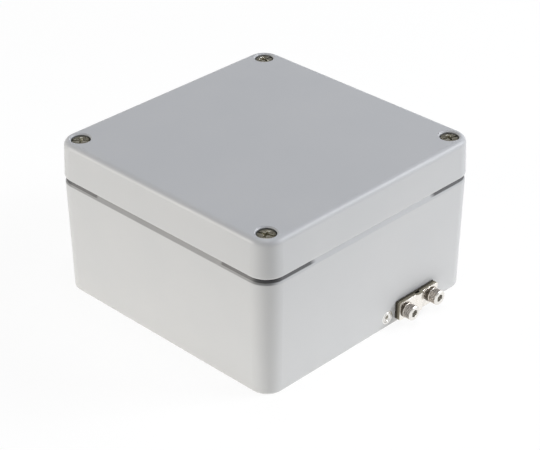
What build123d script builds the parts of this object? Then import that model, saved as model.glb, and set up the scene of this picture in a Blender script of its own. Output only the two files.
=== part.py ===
from build123d import *
import math
import os

os.makedirs("parts", exist_ok=True)

# A die cast aluminium box with a screwed lid and an earth terminal on its front wall.
# Millimetres. The origin is the centre of the underside, +Z is up.
# The front wall faces -Y, the left wall faces -X.

# Overall size of the closed box
box_width = 160.0
box_depth = 160.0
box_height = 92.0
lid_height = 22.0
corner_radius = 12.0

# Castings: walls, drafts and edge rounds
wall_thickness = 6.0
floor_thickness = 4.5
lid_thickness = 4.0
body_draft = 1.2
lid_draft = 2.3
cavity_draft = 0.5
top_edge_radius = 3.5
lid_lower_edge_radius = 1.5
base_edge_radius = 1.6
floor_fillet = 2.0
cavity_corner_radius = 5.0

# Shoulder of the body under the lid
lid_overhang = 0.3
shoulder_height = 3.0
shoulder_inset = 1.8
shoulder_round = 1.2

# Gap that shows between lid and body near each corner
relief_depth = 0.7
relief_leg = 26.0
relief_reach = 2.2

# Seal: a gasket in a groove of the lid, pressed by a rib on the body
groove_offset = 0.9
groove_width = 2.6
groove_depth = 3.0
seal_land = 1.2
rib_width = 1.2
rib_height = 0.8
gasket_side_gap = 0.05
gasket_rib_gap = 0.1

# Lid screws, M6, captive in the lid
lid_screw_inset = 10.5
lid_screw_radius = 2.95
thread_gap = 0.05
head_radius = 5.0
head_height = 5.0
head_recess = 6.0
head_side_gap = 0.35
head_edge_round = 0.8
recess_chamfer = 0.7
web_thickness = 3.5
web_gap = 0.35
lid_screw_length = 25.0
blind_hole_spare = 3.0
tip_chamfer = 0.8
slot_width = 1.5
slot_depth = 1.3
cross_width = 1.6
cross_span = 6.4
cross_depth = 3.0
cross_taper = 12.0
lid_screw_turns = {
    "front_left": -70.0,
    "front_right": -25.0,
    "back_left": -45.0,
    "back_right": -13.0,
}
lid_screw_free_lift = 0.5

# Retaining rings on the lid screws
retainer_radius = 4.5
retainer_thickness = 1.5
retainer_chamfer = 0.3
retainer_side_gap = 0.3
retainer_stop_gap = 0.3

# Through holes that fix the box to a wall, beside the lid screws
fixing_hole_radius = 3.25
fixing_head_radius = 5.5
fixing_hole_offset = 14.5
fixing_seat_height = 10.0

# Threaded bosses on the floor
floor_boss_inset = 30.0
floor_boss_radius = 5.0
floor_boss_height = 6.0
floor_boss_thread_radius = 2.0
floor_boss_hole_depth = 7.0

# Earth terminal on the front wall
terminal_x = 34.8
terminal_z = 8.5
plate_length = 31.0
plate_width = 11.0
plate_corner_radius = 1.0
plate_edge_chamfer = 0.2
base_plate_thickness = 1.5
clamp_plate_thickness = 2.0
ridge_rise = 1.2
ridge_width = 3.7
earth_screw_pitch = 21.0
earth_screw_radius = 2.45
earth_screw_length = 16.0
earth_head_radius = 4.25
earth_head_height = 5.0
earth_head_chamfer = 0.5
earth_socket_width = 4.0
earth_socket_depth = 2.5
earth_hole_depth = 13.0
plate_hole_radius = 2.7
washer_radius = 4.35
washer_bore_radius = 2.6
washer_thickness = 1.2
washer_split = 0.8
washer_skew = 20.0

# Countersunk screw beside the terminal
countersunk_x = 13.2
countersunk_z = 6.5
countersunk_head_radius = 4.0
countersunk_screw_radius = 1.95
countersunk_screw_length = 10.0
countersunk_gap = 0.05
countersunk_socket_width = 2.5
countersunk_socket_depth = 1.6
countersunk_socket_mouth = 2.2
countersunk_mouth_depth = 0.4

# Cast block inside the front wall, with the inner earth terminal on top
block_side_margin = 6.0
block_height = 17.0
block_depth = 11.0
block_edge_round = 1.0
inner_screw_radius = 2.45
inner_screw_length = 11.0
inner_head_radius = 4.25
inner_head_height = 3.3
inner_slot_width = 1.2
inner_slot_depth = 1.5
saddle_length = 10.0
saddle_width = 9.0
saddle_thickness = 1.2
saddle_lip = 1.5
saddle_bend_radius = 0.8

# How near an edge or a corner lies to the place that it is picked by
near = 0.01

# Heights
parting_z = box_height - lid_height
shoulder_z = parting_z - shoulder_height
head_seat_z = box_height - head_recess
web_bottom_z = head_seat_z - web_thickness
lid_ceiling_z = box_height - lid_thickness
groove_top_z = parting_z + groove_depth
lid_screw_tip_z = head_seat_z - lid_screw_length
lid_screw_travel = parting_z - lid_screw_tip_z + lid_screw_free_lift
retainer_top_z = web_bottom_z - lid_screw_travel - retainer_stop_gap
saddle_top_z = block_height + saddle_lip + saddle_thickness
inner_seat_z = saddle_top_z + washer_thickness
inner_screw_tip_z = inner_seat_z - inner_screw_length

# Half sizes of the outer surfaces, from the lid down to the base
draft_slope = math.tan(math.radians(body_draft))
shoulder_half_x = box_width / 2 - lid_overhang
shoulder_half_y = box_depth / 2 - lid_overhang
shoulder_corner = corner_radius - lid_overhang
base_half_x = shoulder_half_x - shoulder_z * draft_slope
base_half_y = shoulder_half_y - shoulder_z * draft_slope
base_corner = shoulder_corner - shoulder_z * draft_slope
rim_half_x = shoulder_half_x - shoulder_inset
rim_half_y = shoulder_half_y - shoulder_inset
rim_corner = shoulder_corner - shoulder_inset
shoulder_slope = math.degrees(math.atan2(shoulder_inset, shoulder_height))

# Half sizes of the cavity at the parting plane, and of the blocks in its corners
cavity_half_x = shoulder_half_x - wall_thickness
cavity_half_y = shoulder_half_y - wall_thickness
lid_screw_x = box_width / 2 - lid_screw_inset
lid_screw_y = box_depth / 2 - lid_screw_inset
fixing_hole_y = lid_screw_y - fixing_hole_offset
block_land = groove_offset + groove_width + seal_land
block_face_x = lid_screw_x - fixing_head_radius - block_land
block_face_y = fixing_hole_y - fixing_head_radius - block_land
inner_terminal_y = -cavity_half_y + block_depth / 2
corners = {
    "front_left": (-lid_screw_x, -lid_screw_y),
    "front_right": (lid_screw_x, -lid_screw_y),
    "back_left": (-lid_screw_x, lid_screw_y),
    "back_right": (lid_screw_x, lid_screw_y),
}


def edges_at(casting, z):
    """The edges of a casting that lie flat at a height."""
    return casting.edges().filter_by_position(Axis.Z, z - near, z + near)


def front_wall_y(z):
    """The outer surface of the front wall at a height below the shoulder."""
    return -(base_half_y + z * draft_slope)


def on_front_wall(x, z):
    """A plane flat on the front wall, its normal outwards and its Y axis up the wall."""
    lean = math.radians(body_draft)
    return Plane(
        origin=(x, front_wall_y(z), z),
        x_dir=(1, 0, 0),
        z_dir=(0, -math.cos(lean), -math.sin(lean)),
    )


def cavity_outline(plane, grow=0.0):
    """The cavity's outline: a rectangle with a block left out at each corner, grown by an amount."""
    with BuildSketch(plane) as outline:
        Rectangle(2 * (cavity_half_x + grow), 2 * (block_face_y + grow))
        Rectangle(2 * (block_face_x + grow), 2 * (cavity_half_y + grow))
        corner_x = block_face_x + grow
        corner_y = block_face_y + grow
        inner = outline.vertices().filter_by(
            lambda v: abs(abs(v.X) - corner_x) + abs(abs(v.Y) - corner_y) < near
        )
        outer = outline.vertices().filter_by(
            lambda v: abs(abs(v.X) - corner_x) + abs(abs(v.Y) - corner_y) >= near
        )
        fillet(inner, cavity_corner_radius - grow)
        fillet(outer, cavity_corner_radius + grow)
    return outline.sketch


def outline_ring(plane, inner_grow, outer_grow):
    """A band that follows the cavity's outline."""
    return cavity_outline(plane, outer_grow) - cavity_outline(plane, inner_grow)


parting_plane = Plane.XY.offset(parting_z)
terminal_plane = on_front_wall(terminal_x, terminal_z)
countersunk_plane = on_front_wall(countersunk_x, countersunk_z)

# Box body: one casting with drafted walls, a shoulder under the lid and a block in each corner
with BuildPart() as box_body:
    with BuildSketch(Plane.XY):
        RectangleRounded(2 * base_half_x, 2 * base_half_y, base_corner)
    extrude(amount=shoulder_z, taper=-body_draft)
    with BuildSketch(Plane.XY.offset(shoulder_z)):
        RectangleRounded(2 * shoulder_half_x, 2 * shoulder_half_y, shoulder_corner)
    extrude(amount=shoulder_height, taper=shoulder_slope)
    fillet(edges_at(box_body, shoulder_z), shoulder_round)
    fillet(box_body.edges().group_by(Axis.Z)[0], base_edge_radius)

    # The cavity, and the round where its walls meet the floor
    extrude(
        cavity_outline(parting_plane),
        amount=-(parting_z - floor_thickness),
        taper=cavity_draft,
        mode=Mode.SUBTRACT,
    )
    fillet(edges_at(box_body, floor_thickness), floor_fillet)

    # The rib that presses on the gasket
    rib_middle = groove_offset + groove_width / 2
    rib = outline_ring(parting_plane, rib_middle - rib_width / 2, rib_middle + rib_width / 2)
    extrude(rib, amount=rib_height)

    # The relief at the outer edge of the rim, near each corner
    with BuildSketch(parting_plane):
        Rectangle(box_width, box_depth)
        Rectangle(box_width - 2 * relief_leg, box_depth, mode=Mode.SUBTRACT)
        Rectangle(box_width, box_depth - 2 * relief_leg, mode=Mode.SUBTRACT)
        RectangleRounded(
            2 * (rim_half_x - relief_reach),
            2 * (rim_half_y - relief_reach),
            rim_corner - relief_reach,
            mode=Mode.SUBTRACT,
        )
        add(cavity_outline(Plane.XY, groove_offset + groove_width), mode=Mode.SUBTRACT)
    extrude(amount=-relief_depth, mode=Mode.SUBTRACT)

    # Threaded holes for the lid screws
    with Locations(parting_plane):
        with GridLocations(2 * lid_screw_x, 2 * lid_screw_y, 2, 2):
            Hole(lid_screw_radius + thread_gap, depth=parting_z - lid_screw_tip_z + blind_hole_spare)

    # Wall fixing holes: wide down to the screw head's seat, then through the floor
    with Locations(parting_plane):
        with GridLocations(2 * lid_screw_x, 2 * fixing_hole_y, 2, 2):
            CounterBoreHole(
                fixing_hole_radius,
                fixing_head_radius,
                parting_z - fixing_seat_height,
                depth=parting_z,
            )

    # Bosses on the floor for a mounting plate
    with BuildSketch(Plane.XY.offset(floor_thickness)):
        with GridLocations(box_width - 2 * floor_boss_inset, box_depth - 2 * floor_boss_inset, 2, 2):
            Circle(floor_boss_radius)
    extrude(amount=floor_boss_height)
    with Locations(Plane.XY.offset(floor_thickness + floor_boss_height)):
        with GridLocations(box_width - 2 * floor_boss_inset, box_depth - 2 * floor_boss_inset, 2, 2):
            Hole(floor_boss_thread_radius, depth=floor_boss_hole_depth)

    # The block inside the front wall that the earth screws are threaded into
    block_left = countersunk_x - block_side_margin
    block_right = terminal_x + earth_screw_pitch / 2 + block_side_margin
    block_back_y = -cavity_half_y + block_depth
    block_front_y = -cavity_half_y - wall_thickness / 2
    with BuildSketch(Plane.XY.offset(floor_thickness / 2)):
        with Locations(((block_left + block_right) / 2, (block_back_y + block_front_y) / 2)):
            Rectangle(block_right - block_left, block_back_y - block_front_y)
    extrude(amount=block_height - floor_thickness / 2)
    fillet(edges_at(box_body, block_height).sort_by(Axis.Y)[-1], block_edge_round)

    # Holes of the earth screws, the countersunk screw and the inner earth screw
    with BuildSketch(terminal_plane):
        with GridLocations(earth_screw_pitch, 0, 2, 1):
            Circle(earth_screw_radius + thread_gap)
    extrude(amount=-earth_hole_depth, mode=Mode.SUBTRACT)
    with Locations(countersunk_plane):
        CounterSinkHole(
            countersunk_screw_radius + thread_gap,
            countersunk_head_radius,
            depth=countersunk_screw_length + thread_gap,
            counter_sink_angle=90,
        )
    with Locations((terminal_x, inner_terminal_y, block_height)):
        Hole(inner_screw_radius + thread_gap, depth=block_height - inner_screw_tip_z + blind_hole_spare)

box_body.part.label = "box_body"
export_step(box_body.part, "parts/box_body.step")

# Lid: one casting, hollow below, with a thick column around each screw
with BuildPart() as lid:
    with BuildSketch(parting_plane):
        RectangleRounded(box_width, box_depth, corner_radius)
    extrude(amount=lid_height, taper=lid_draft)
    fillet(lid.edges().group_by(Axis.Z)[-1], top_edge_radius)
    fillet(lid.edges().group_by(Axis.Z)[0], lid_lower_edge_radius)

    # The hollow under the lid, rounded where it meets the plate
    extrude(
        cavity_outline(parting_plane),
        amount=lid_ceiling_z - parting_z,
        taper=cavity_draft,
        mode=Mode.SUBTRACT,
    )
    fillet(edges_at(lid, lid_ceiling_z), floor_fillet)

    # The groove for the gasket
    groove = outline_ring(parting_plane, groove_offset, groove_offset + groove_width)
    extrude(groove, amount=groove_depth, mode=Mode.SUBTRACT)

    # Recesses for the screw heads, holes through the webs, and room for the retainers below
    with Locations(Plane.XY.offset(box_height)):
        with GridLocations(2 * lid_screw_x, 2 * lid_screw_y, 2, 2):
            CounterBoreHole(
                lid_screw_radius + web_gap,
                head_radius + head_side_gap,
                head_recess,
                depth=lid_height,
            )
    with BuildSketch(parting_plane):
        with GridLocations(2 * lid_screw_x, 2 * lid_screw_y, 2, 2):
            Circle(retainer_radius + retainer_side_gap)
    extrude(amount=web_bottom_z - parting_z, mode=Mode.SUBTRACT)
    chamfer(lid.edges().filter_by(GeomType.CIRCLE).group_by(Axis.Z)[-1], recess_chamfer)

lid.part.label = "lid"
export_step(lid.part, "parts/lid.step")

# Gasket: an elastic cord of square section that fills the groove above the rib
with BuildPart() as lid_gasket:
    gasket_z = parting_z + rib_height + gasket_rib_gap
    gasket_band = outline_ring(
        Plane.XY.offset(gasket_z),
        groove_offset + gasket_side_gap,
        groove_offset + groove_width - gasket_side_gap,
    )
    extrude(gasket_band, amount=groove_top_z - gasket_z)

lid_gasket.part.label = "lid_gasket"
export_step(lid_gasket.part, "parts/lid_gasket.step")

# Lid screws: captive, with a head that takes a flat or a cross driver
for corner, (x, y) in corners.items():
    slot_angle = lid_screw_turns[corner]
    with BuildPart() as lid_screw:
        with BuildSketch(Plane((x, y, head_seat_z))):
            Circle(head_radius)
        extrude(amount=head_height)
        fillet(lid_screw.edges().group_by(Axis.Z)[-1], head_edge_round)
        with BuildSketch(Plane((x, y, head_seat_z))):
            Circle(lid_screw_radius)
        extrude(amount=-lid_screw_length)
        chamfer(lid_screw.edges().group_by(Axis.Z)[0], tip_chamfer)
        with BuildSketch(Plane((x, y, head_seat_z + head_height))):
            Rectangle(3 * head_radius, slot_width, rotation=slot_angle)
        extrude(amount=-slot_depth, mode=Mode.SUBTRACT)
        with BuildSketch(Plane((x, y, head_seat_z + head_height))):
            Rectangle(cross_span, cross_width, rotation=slot_angle)
            Rectangle(cross_width, cross_span, rotation=slot_angle)
        extrude(amount=-cross_depth, taper=cross_taper, mode=Mode.SUBTRACT)
    lid_screw.part.label = f"lid_screw_{corner}"
    export_step(lid_screw.part, f"parts/lid_screw_{corner}.step")

# Retainers: rings on the shanks that meet the webs when the screws are fully out
for corner, (x, y) in corners.items():
    with BuildPart() as screw_retainer:
        with BuildSketch(Plane((x, y, retainer_top_z - retainer_thickness))):
            Circle(retainer_radius)
            Circle(lid_screw_radius + thread_gap, mode=Mode.SUBTRACT)
        extrude(amount=retainer_thickness)
        chamfer(screw_retainer.edges().filter_by(GeomType.CIRCLE), retainer_chamfer)
    screw_retainer.part.label = f"screw_retainer_{corner}"
    export_step(screw_retainer.part, f"parts/screw_retainer_{corner}.step")

# Earth base plate, flat on the front wall
with BuildPart() as earth_base_plate:
    with BuildSketch(terminal_plane):
        RectangleRounded(plate_length, plate_width, plate_corner_radius)
        with GridLocations(earth_screw_pitch, 0, 2, 1):
            Circle(plate_hole_radius, mode=Mode.SUBTRACT)
    extrude(amount=base_plate_thickness)
    chamfer(earth_base_plate.faces().sort_by(Axis.Y)[0].outer_wire().edges(), plate_edge_chamfer)

earth_base_plate.part.label = "earth_base_plate"
export_step(earth_base_plate.part, "parts/earth_base_plate.step")

# Earth clamp plate: a strip pressed to a ridge in the middle, which leaves a groove for the conductor
with BuildPart() as earth_clamp_plate:
    clamp_plane = terminal_plane.offset(base_plate_thickness)
    ramp_shift = clamp_plate_thickness * math.tan(math.radians(45 / 2))
    end = plate_length / 2
    ridge_half = ridge_width / 2
    groove_half = ridge_half - ramp_shift
    ridge_top = clamp_plate_thickness + ridge_rise
    with BuildSketch(Plane(clamp_plane.origin, x_dir=clamp_plane.x_dir, z_dir=-clamp_plane.y_dir)):
        with BuildLine():
            Polyline(
                (-end, 0),
                (-groove_half - ridge_rise, 0),
                (-groove_half, ridge_rise),
                (groove_half, ridge_rise),
                (groove_half + ridge_rise, 0),
                (end, 0),
                (end, clamp_plate_thickness),
                (ridge_half + ridge_rise, clamp_plate_thickness),
                (ridge_half, ridge_top),
                (-ridge_half, ridge_top),
                (-ridge_half - ridge_rise, clamp_plate_thickness),
                (-end, clamp_plate_thickness),
                close=True,
            )
        make_face()
    extrude(amount=plate_width / 2, both=True)
    fillet(earth_clamp_plate.edges().filter_by(Axis((0, 0, 0), clamp_plane.z_dir)), plate_corner_radius)
    with BuildSketch(clamp_plane):
        with GridLocations(earth_screw_pitch, 0, 2, 1):
            Circle(plate_hole_radius)
    extrude(amount=ridge_top, mode=Mode.SUBTRACT)

earth_clamp_plate.part.label = "earth_clamp_plate"
export_step(earth_clamp_plate.part, "parts/earth_clamp_plate.step")

# Spring washers: two on the clamp plate and one on the saddle of the inner terminal
stack_height = base_plate_thickness + clamp_plate_thickness
left_seat = Plane(
    terminal_plane.offset(stack_height).origin - Vector(earth_screw_pitch / 2, 0, 0),
    x_dir=terminal_plane.x_dir,
    z_dir=terminal_plane.z_dir,
)
right_seat = Plane(
    terminal_plane.offset(stack_height).origin + Vector(earth_screw_pitch / 2, 0, 0),
    x_dir=terminal_plane.x_dir,
    z_dir=terminal_plane.z_dir,
)
washer_seats = {
    "earth_washer_left": left_seat,
    "earth_washer_right": right_seat,
    "inner_earth_washer": Plane((terminal_x, inner_terminal_y, saddle_top_z)),
}
for washer_name, seat in washer_seats.items():
    with BuildPart() as spring_washer:
        with BuildSketch(seat):
            Circle(washer_radius)
            Circle(washer_bore_radius, mode=Mode.SUBTRACT)
            with Locations((0, (washer_radius + washer_bore_radius) / 2)):
                Rectangle(washer_split, washer_radius, rotation=washer_skew, mode=Mode.SUBTRACT)
        extrude(amount=washer_thickness)
    spring_washer.part.label = washer_name
    export_step(spring_washer.part, f"parts/{washer_name}.step")

# Earth screws: socket cap screws on the spring washers
for side, seat in (("left", left_seat), ("right", right_seat)):
    with BuildPart() as earth_screw:
        head_plane = seat.offset(washer_thickness)
        with BuildSketch(head_plane):
            Circle(earth_head_radius)
        extrude(amount=earth_head_height)
        chamfer(earth_screw.edges().filter_by(GeomType.CIRCLE).sort_by(Axis.Y)[0], earth_head_chamfer)
        with BuildSketch(head_plane.offset(earth_head_height)):
            RegularPolygon(earth_socket_width / 2, 6, major_radius=False)
        extrude(amount=-earth_socket_depth, mode=Mode.SUBTRACT)
        with BuildSketch(head_plane):
            Circle(earth_screw_radius)
        extrude(amount=-earth_screw_length)
        chamfer(earth_screw.edges().filter_by(GeomType.CIRCLE).sort_by(Axis.Y)[-1], tip_chamfer)
    earth_screw.part.label = f"earth_screw_{side}"
    export_step(earth_screw.part, f"parts/earth_screw_{side}.step")

# Countersunk screw, flush with the front wall, with a hexagon socket and a dished mouth
with BuildPart() as countersunk_screw:
    cone_height = countersunk_head_radius - countersunk_screw_radius - countersunk_gap
    with BuildSketch(countersunk_plane):
        Circle(countersunk_head_radius - countersunk_gap)
    extrude(amount=-cone_height, taper=45)
    with BuildSketch(countersunk_plane):
        Circle(countersunk_screw_radius)
    extrude(amount=-countersunk_screw_length)
    with BuildSketch(countersunk_plane):
        RegularPolygon(countersunk_socket_width / 2, 6, major_radius=False)
    extrude(amount=-countersunk_socket_depth, mode=Mode.SUBTRACT)
    with BuildSketch(countersunk_plane):
        Circle(countersunk_socket_mouth)
    extrude(amount=-countersunk_mouth_depth, taper=45, mode=Mode.SUBTRACT)

countersunk_screw.part.label = "countersunk_screw"
export_step(countersunk_screw.part, "parts/countersunk_screw.step")

# Saddle of the inner terminal: a plate with two lips turned down onto the block
with BuildPart() as inner_earth_saddle:
    with BuildSketch(Plane((terminal_x, inner_terminal_y, block_height + saddle_lip))):
        Rectangle(saddle_length, saddle_width)
    extrude(amount=saddle_thickness)
    with BuildSketch(Plane((terminal_x, inner_terminal_y, block_height))):
        with GridLocations(saddle_length - saddle_thickness, 0, 2, 1):
            Rectangle(saddle_thickness, saddle_width)
    extrude(amount=saddle_lip)
    outer_bends = inner_earth_saddle.edges().filter_by(Axis.Y).group_by(Axis.Z)[-1]
    fillet(outer_bends, saddle_bend_radius)
    with Locations((terminal_x, inner_terminal_y, saddle_top_z)):
        Hole(plate_hole_radius)

inner_earth_saddle.part.label = "inner_earth_saddle"
export_step(inner_earth_saddle.part, "parts/inner_earth_saddle.step")

# Inner earth screw, with a slotted head
with BuildPart() as inner_earth_screw:
    inner_seat = Plane((terminal_x, inner_terminal_y, inner_seat_z))
    with BuildSketch(inner_seat):
        Circle(inner_head_radius)
    extrude(amount=inner_head_height)
    chamfer(inner_earth_screw.edges().group_by(Axis.Z)[-1], earth_head_chamfer)
    with BuildSketch(inner_seat.offset(inner_head_height)):
        Rectangle(3 * inner_head_radius, inner_slot_width)
    extrude(amount=-inner_slot_depth, mode=Mode.SUBTRACT)
    with BuildSketch(inner_seat):
        Circle(inner_screw_radius)
    extrude(amount=-inner_screw_length)
    chamfer(inner_earth_screw.edges().group_by(Axis.Z)[0], tip_chamfer)

inner_earth_screw.part.label = "inner_earth_screw"
export_step(inner_earth_screw.part, "parts/inner_earth_screw.step")
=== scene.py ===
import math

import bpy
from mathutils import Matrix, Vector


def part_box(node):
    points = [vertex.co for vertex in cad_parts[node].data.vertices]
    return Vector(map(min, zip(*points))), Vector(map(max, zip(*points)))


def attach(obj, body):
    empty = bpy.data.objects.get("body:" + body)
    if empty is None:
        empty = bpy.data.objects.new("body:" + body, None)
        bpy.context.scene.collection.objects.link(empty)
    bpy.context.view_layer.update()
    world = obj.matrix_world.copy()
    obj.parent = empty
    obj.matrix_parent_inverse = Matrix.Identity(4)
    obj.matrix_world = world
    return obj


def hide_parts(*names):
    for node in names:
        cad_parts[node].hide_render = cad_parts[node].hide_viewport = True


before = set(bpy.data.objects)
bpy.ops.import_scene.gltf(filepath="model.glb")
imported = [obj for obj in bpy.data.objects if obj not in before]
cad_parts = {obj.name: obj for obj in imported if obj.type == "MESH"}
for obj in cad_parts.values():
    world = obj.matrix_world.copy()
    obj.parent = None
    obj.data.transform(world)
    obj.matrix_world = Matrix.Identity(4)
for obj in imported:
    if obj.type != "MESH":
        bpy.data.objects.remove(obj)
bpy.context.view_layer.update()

# %% [markdown]
# # A painted die cast box, with its screws and its earth terminal
# This lesson dresses a square die cast aluminium box. The frame that is loaded above holds the
# exact castings, so they stay as they are and get a finish. The small hardware is what the eye
# goes to: four captive lid screws, two knurled socket screws on a clamp, and a flush screw.
# Each of these is modelled again with the thread, knurl and edges that the plain solids lack.

mm = 0.001
scene = bpy.context.scene

# %% [markdown]
# ## Places that the whole lesson shares
# The frame knows where every solid lies, so places are read from it and not typed again. Heights
# of the lid's top, of the parting line and of the screws follow from the boxes of the nodes.

# %% Places read from the frame
body_low, body_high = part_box("box_body")
lid_low, lid_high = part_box("lid")
corner_names = ["front_left", "front_right", "back_left", "back_right"]
lid_top = lid_high.z
parting = lid_low.z
lid_screw_places = {}
for corner_name in corner_names:
    screw_low, screw_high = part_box("lid_screw_" + corner_name)
    lid_screw_places[corner_name] = Vector((
        (screw_low.x + screw_high.x) / 2,
        (screw_low.y + screw_high.y) / 2,
        screw_high.z,
    ))
screw_offset = lid_screw_places["back_right"].x
print("lid screws stand", round(screw_offset / mm, 2), "mm from the middle")

# %% [markdown]
# ## The camera
# The box was photographed with a long lens from above its near corner. A long lens keeps the
# vertical edges almost parallel. The camera is placed by its direction and distance from the
# point that it looks at, then tipped a quarter of a degree, as a hand-held level is.

# %% Camera
aim_point = Vector((-0.7, -4.06, 39.34)) * mm
camera_distance = 973.4 * mm
camera_azimuth = -135.352
camera_elevation = 30.84
camera_roll = math.radians(-0.235)
camera_lens = 118.673


def direction_at(azimuth, elevation):
    """The direction away from the box at two angles in degrees."""
    turned = math.radians(azimuth)
    raised = math.radians(elevation)
    return Vector((
        math.cos(raised) * math.cos(turned),
        math.cos(raised) * math.sin(turned),
        math.sin(raised),
    ))


camera_data = bpy.data.cameras.new("product_camera")
camera_data.lens = camera_lens
camera_data.clip_start = 0.05
camera_data.clip_end = 30
camera = bpy.data.objects.new("product_camera", camera_data)
scene.collection.objects.link(camera)
scene.camera = camera
from_aim = direction_at(camera_azimuth, camera_elevation)
camera.location = aim_point + from_aim * camera_distance
camera.rotation_mode = "QUATERNION"
level_view = (-from_aim).to_track_quat("-Z", "Y")
camera.rotation_quaternion = level_view @ Matrix.Rotation(camera_roll, 3, "Z").to_quaternion()
scene.view_settings.view_transform = "Standard"
print("camera at mm", [round(value / mm) for value in camera.location])

# %% [markdown]
# ## Helpers for materials
# A colour is written as the hex value that a colour picker shows, and one function turns it to
# the linear value that the shaders need. One more function adds a node, sets it and fills its
# inputs, so that a material reads as a short list of what it is made of. Arithmetic comes so
# often that it has short names of its own: a step, a product and a ramp.


# %% Colour and node helpers
def colour(code):
    """A hex colour as linear red, green, blue and alpha."""
    channels = [int(code[start:start + 2], 16) / 255 for start in (1, 3, 5)]
    linear = [c / 12.92 if c <= 0.04045 else ((c + 0.055) / 1.055) ** 2.4 for c in channels]
    return (*linear, 1.0)


def add(tree, kind, inputs=None, out=0, **settings):
    """Add a node with its settings, fill its inputs with values or links, and give an output."""
    node = tree.nodes.new("ShaderNode" + kind)
    for name, value in settings.items():
        setattr(node, name, value)
    for name, value in (inputs or {}).items():
        if isinstance(value, bpy.types.NodeSocket):
            tree.links.new(value, node.inputs[name])
        else:
            node.inputs[name].default_value = value
    return node if out is None else node.outputs[out]


def new_material(name, metallic=0.0, roughness=0.5):
    """A material with its shader joined to its output."""
    material = bpy.data.materials.new(name)
    material.use_nodes = True
    tree = material.node_tree
    tree.nodes.clear()
    shader = add(tree, "BsdfPrincipled", {"Metallic": metallic, "Roughness": roughness}, out=None)
    add(tree, "OutputMaterial", {"Surface": shader.outputs["BSDF"]}, out=None)
    print("material", name)
    return material, tree, shader


def calc(tree, operation, *values):
    """One step of arithmetic with values or links."""
    return add(tree, "Math", dict(enumerate(values)), operation=operation)


def product(tree, first, second):
    """Two values multiplied. With masks it is one where both are one."""
    return calc(tree, "MULTIPLY", first, second)


def ramp(tree, value, start, end, first=0.0, last=1.0):
    """Runs evenly from the first level to the last while a value goes from start to end."""
    return add(tree, "MapRange", {0: value, 1: start, 2: end, 3: first, 4: last})


print("middle grey in linear light", round(colour("#808080")[0], 3))

# %% [markdown]
# ## The floor and the white room
# The box stands in a plain white studio, on a light table: its walls are lit from below as much
# as from the sides, which is why they are brighter than the lid and why the near corner, which
# faces no lamp, gets lighter towards its foot. Floor and room look white to the camera and in
# reflections, and the ceiling is a soft grey, so that bright metal has something to mirror.

# %% Floor and room
floor_size = 8.0
floor_drop = 0.05 * mm
floor_white_share = 0.84
floor_white_level = 1.06
light_table_level = 0.95
table_rim_level = 0.25
table_bright_reach = 0.16
table_dim_reach = 0.6
wall_top = 0.2
ceiling_start = 0.45
ceiling_level = 0.3


def seen_rays(tree):
    """One for rays that come straight from the camera, from a reflection or through a clear piece."""
    rays = add(tree, "LightPath", out=None).outputs
    first = calc(tree, "MAXIMUM", rays["Is Camera Ray"], rays["Is Glossy Ray"])
    return calc(tree, "MAXIMUM", first, rays["Is Transmission Ray"])


bpy.ops.object.select_all(action="DESELECT")
bpy.ops.mesh.primitive_plane_add(size=floor_size, location=(0, 0, -floor_drop))
studio_floor = bpy.context.active_object
studio_floor.name = "studio_floor"
floor_material, tree, shader = new_material("pale_matt_floor", roughness=0.9)
shader.inputs["Base Color"].default_value = colour("#E9E9E7")
white_share = product(tree, seen_rays(tree), floor_white_share)
white_glow = add(tree, "Emission", {"Color": colour("#FFFFFF"), "Strength": floor_white_level})
floor_mix = add(tree, "MixShader", {0: white_share, 1: shader.outputs["BSDF"], 2: white_glow})
unseen = calc(tree, "SUBTRACT", 1.0, seen_rays(tree))
table_place = add(tree, "TexCoord", out="Object")
away = add(tree, "VectorMath", {0: table_place}, out="Value", operation="LENGTH")
table_level = ramp(tree, away, table_bright_reach, table_dim_reach, light_table_level, table_rim_level)
table_level = product(tree, unseen, table_level)
table_light = add(tree, "Emission", {"Color": colour("#FFFBF4"), "Strength": table_level})
lit_floor = add(tree, "AddShader", {0: floor_mix, 1: table_light})
tree.links.new(lit_floor, tree.nodes["Material Output"].inputs["Surface"])
studio_floor.data.materials.append(floor_material)
print("floor", floor_size, "m wide,", round(floor_drop / mm, 2), "mm under the box")

world = bpy.data.worlds.new("white_room")
scene.world = world
world.use_nodes = True
tree = world.node_tree
tree.nodes.clear()
direction = add(tree, "TexCoord", out="Generated")
upwards = add(tree, "SeparateXYZ", {0: direction}, out="Z")
ceiling = ramp(tree, upwards, wall_top, ceiling_start, 1.0, ceiling_level)
camera_ray = add(tree, "LightPath", out="Is Camera Ray")
white_level = calc(tree, "MAXIMUM", ceiling, camera_ray)
white_level = product(tree, white_level, seen_rays(tree))
room_white = add(tree, "Background", {"Color": colour("#FFFFFF"), "Strength": white_level})
add(tree, "OutputWorld", {"Surface": room_white}, out=None)

# %% [markdown]
# ## The lamps
# Two large lamps stand to the right and one low on the left, a little warmer. None of them
# faces the near corner, so it stays darker than both walls. Two weaker lamps high above light
# the lid, and the front one also puts a glint on the edges of the screws.

# %% Lamps
lamp_distance = 1.9
lamp_size = 0.7


def soft_lamp(name, azimuth, elevation, power, tint):
    """A square lamp that looks at the box from a direction given in degrees."""
    direction = direction_at(azimuth, elevation)
    lamp = bpy.data.lights.new(name, "AREA")
    lamp.shape = "SQUARE"
    lamp.size = lamp_size
    lamp.energy = power
    lamp.color = colour(tint)[:3]
    holder = bpy.data.objects.new(name, lamp)
    scene.collection.objects.link(holder)
    holder.location = aim_point + direction * lamp_distance
    holder.rotation_mode = "QUATERNION"
    holder.rotation_quaternion = (-direction).to_track_quat("-Z", "Y")
    print(name, power, "W, turned", azimuth, "degrees, up", elevation, "degrees")


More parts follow.
